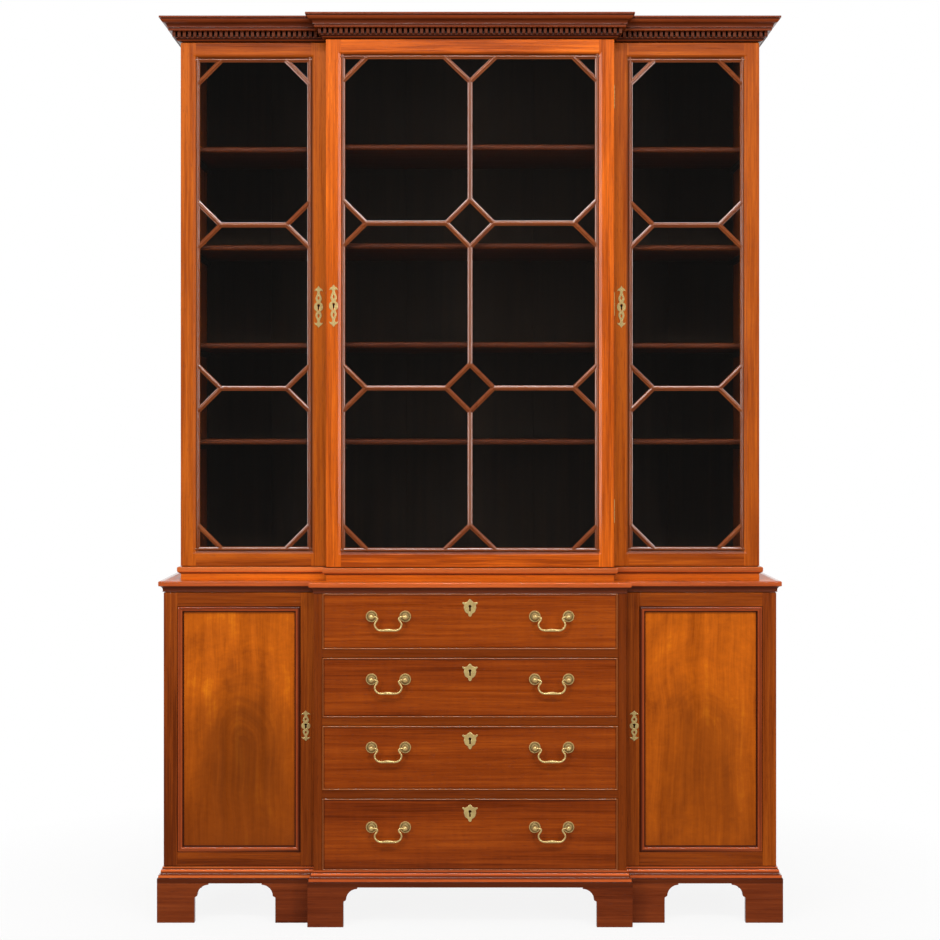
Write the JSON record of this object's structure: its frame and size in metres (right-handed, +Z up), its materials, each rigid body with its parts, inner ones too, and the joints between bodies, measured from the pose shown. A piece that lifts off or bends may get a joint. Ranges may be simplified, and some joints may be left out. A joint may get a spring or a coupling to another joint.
{
  "type": "bookcase",
  "caption": "Tall breakfront bookcase: a glazed case with astragal doors and a dentil cornice, over drawers between two panelled cupboards on bracket feet.",
  "frame": {"origin": "on the floor, in the middle of the space that the whole piece takes in plan", "axes": "+X to the right of someone facing the doors, +Y from the front to the back, +Z up"},
  "size_m": [1.6834, 0.5268, 2.44],
  "materials": {
    "carcass_mahogany": "french polish, warm red brown",
    "moulding_mahogany": "french polish, darker red brown",
    "figured_mahogany": "french polish over figured veneer",
    "secondary_wood": "oiled or left bare inside",
    "glass": "clear old glass",
    "brass": "lacquered, softly worn"
  },
  "bodies": {
    "root": {"base_uprights": "carcass_mahogany", "base_floor_boards": "secondary_wood", "base_back_boards": "secondary_wood", "base_top": "carcass_mahogany", "base_moulding": "moulding_mahogany", "plinth_strips": "moulding_mahogany", "bracket_feet": "moulding_mahogany", "foot_blocks": "secondary_wood", "drawer_dividers": "secondary_wood", "cupboard_shelves": "secondary_wood", "upper_uprights": "carcass_mahogany", "case_rails": "carcass_mahogany", "upper_deck_and_top": "secondary_wood", "upper_back_boards": "secondary_wood", "adjustable_shelves": "carcass_mahogany", "shelf_bearers": "secondary_wood", "waist_moulding": "moulding_mahogany", "cornice_moulding": "moulding_mahogany", "dentil_course": "moulding_mahogany", "hinge_fixed_halves": "brass"},
    "left_upper_door": {"left_upper_door_frame": "carcass_mahogany", "left_upper_door_glazing_bars": "moulding_mahogany", "left_upper_door_glass": "glass", "left_upper_door_brassware": "brass"},
    "centre_upper_door": {"centre_upper_door_frame": "carcass_mahogany", "centre_upper_door_glazing_bars": "moulding_mahogany", "centre_upper_door_glass": "glass", "centre_upper_door_brassware": "brass"},
    "right_upper_door": {"right_upper_door_frame": "carcass_mahogany", "right_upper_door_glazing_bars": "moulding_mahogany", "right_upper_door_glass": "glass", "right_upper_door_brassware": "brass"},
    "left_base_door": {"left_base_door_frame": "carcass_mahogany", "left_base_door_panel": "figured_mahogany", "left_base_door_panel_moulding": "moulding_mahogany", "left_base_door_brassware": "brass"},
    "right_base_door": {"right_base_door_frame": "carcass_mahogany", "right_base_door_panel": "figured_mahogany", "right_base_door_panel_moulding": "moulding_mahogany", "right_base_door_brassware": "brass"},
    "drawer_1": {"drawer_1_front": "figured_mahogany", "drawer_1_box": "secondary_wood", "drawer_1_brassware": "brass"},
    "drawer_2": {"drawer_2_front": "figured_mahogany", "drawer_2_box": "secondary_wood", "drawer_2_brassware": "brass"},
    "drawer_3": {"drawer_3_front": "figured_mahogany", "drawer_3_box": "secondary_wood", "drawer_3_brassware": "brass"},
    "drawer_4": {"drawer_4_front": "figured_mahogany", "drawer_4_box": "secondary_wood", "drawer_4_brassware": "brass"},
    "drawer_1_left_bail": {"drawer_1_left_bail": "brass"},
    "drawer_1_right_bail": {"drawer_1_right_bail": "brass"},
    "drawer_2_left_bail": {"drawer_2_left_bail": "brass"},
    "drawer_2_right_bail": {"drawer_2_right_bail": "brass"},
    "drawer_3_left_bail": {"drawer_3_left_bail": "brass"},
    "drawer_3_right_bail": {"drawer_3_right_bail": "brass"},
    "drawer_4_left_bail": {"drawer_4_left_bail": "brass"},
    "drawer_4_right_bail": {"drawer_4_right_bail": "brass"}
  },
  "joints": [
    {"name": "left_upper_door_hinge", "type": "hinge", "parent": "root", "child": "left_upper_door", "pos_m": [-0.7855, -0.12435, 1], "axis": [0, 0, -1], "range_deg": [0, 170]},
    {"name": "centre_upper_door_hinge", "type": "hinge", "parent": "root", "child": "centre_upper_door", "pos_m": [0.388, -0.17435, 1], "axis": [0, 0, 1], "range_deg": [0, 165]},
    {"name": "right_upper_door_hinge", "type": "hinge", "parent": "root", "child": "right_upper_door", "pos_m": [0.7855, -0.12435, 1], "axis": [0, 0, 1], "range_deg": [0, 170]},
    {"name": "left_base_door_hinge", "type": "hinge", "parent": "root", "child": "left_base_door", "pos_m": [-0.8257, -0.16235, 1], "axis": [0, 0, -1], "range_deg": [0, 170]},
    {"name": "right_base_door_hinge", "type": "hinge", "parent": "root", "child": "right_base_door", "pos_m": [0.8257, -0.16235, 1], "axis": [0, 0, 1], "range_deg": [0, 170]},
    {"name": "drawer_1_slide", "type": "slide", "parent": "root", "child": "drawer_1", "axis": [0, -1, 0], "range_m": [0, 0.36]},
    {"name": "drawer_2_slide", "type": "slide", "parent": "root", "child": "drawer_2", "axis": [0, -1, 0], "range_m": [0, 0.36]},
    {"name": "drawer_3_slide", "type": "slide", "parent": "root", "child": "drawer_3", "axis": [0, -1, 0], "range_m": [0, 0.36]},
    {"name": "drawer_4_slide", "type": "slide", "parent": "root", "child": "drawer_4", "axis": [0, -1, 0], "range_m": [0, 0.36]},
    {"name": "drawer_1_left_bail_hinge", "type": "hinge", "parent": "drawer_1", "child": "drawer_1_left_bail", "pos_m": [-0.218, -0.2566, 0.827], "axis": [-1, 0, 0], "range_deg": [0, 90]},
    {"name": "drawer_1_right_bail_hinge", "type": "hinge", "parent": "drawer_1", "child": "drawer_1_right_bail", "pos_m": [0.218, -0.2566, 0.827], "axis": [-1, 0, 0], "range_deg": [0, 90]},
    {"name": "drawer_2_left_bail_hinge", "type": "hinge", "parent": "drawer_2", "child": "drawer_2_left_bail", "pos_m": [-0.218, -0.2566, 0.659], "axis": [-1, 0, 0], "range_deg": [0, 90]},
    {"name": "drawer_2_right_bail_hinge", "type": "hinge", "parent": "drawer_2", "child": "drawer_2_right_bail", "pos_m": [0.218, -0.2566, 0.659], "axis": [-1, 0, 0], "range_deg": [0, 90]},
    {"name": "drawer_3_left_bail_hinge", "type": "hinge", "parent": "drawer_3", "child": "drawer_3_left_bail", "pos_m": [-0.218, -0.2566, 0.477], "axis": [-1, 0, 0], "range_deg": [0, 90]},
    {"name": "drawer_3_right_bail_hinge", "type": "hinge", "parent": "drawer_3", "child": "drawer_3_right_bail", "pos_m": [0.218, -0.2566, 0.477], "axis": [-1, 0, 0], "range_deg": [0, 90]},
    {"name": "drawer_4_left_bail_hinge", "type": "hinge", "parent": "drawer_4", "child": "drawer_4_left_bail", "pos_m": [-0.218, -0.2566, 0.264], "axis": [-1, 0, 0], "range_deg": [0, 90]},
    {"name": "drawer_4_right_bail_hinge", "type": "hinge", "parent": "drawer_4", "child": "drawer_4_right_bail", "pos_m": [0.218, -0.2566, 0.264], "axis": [-1, 0, 0], "range_deg": [0, 90]}
  ]
}
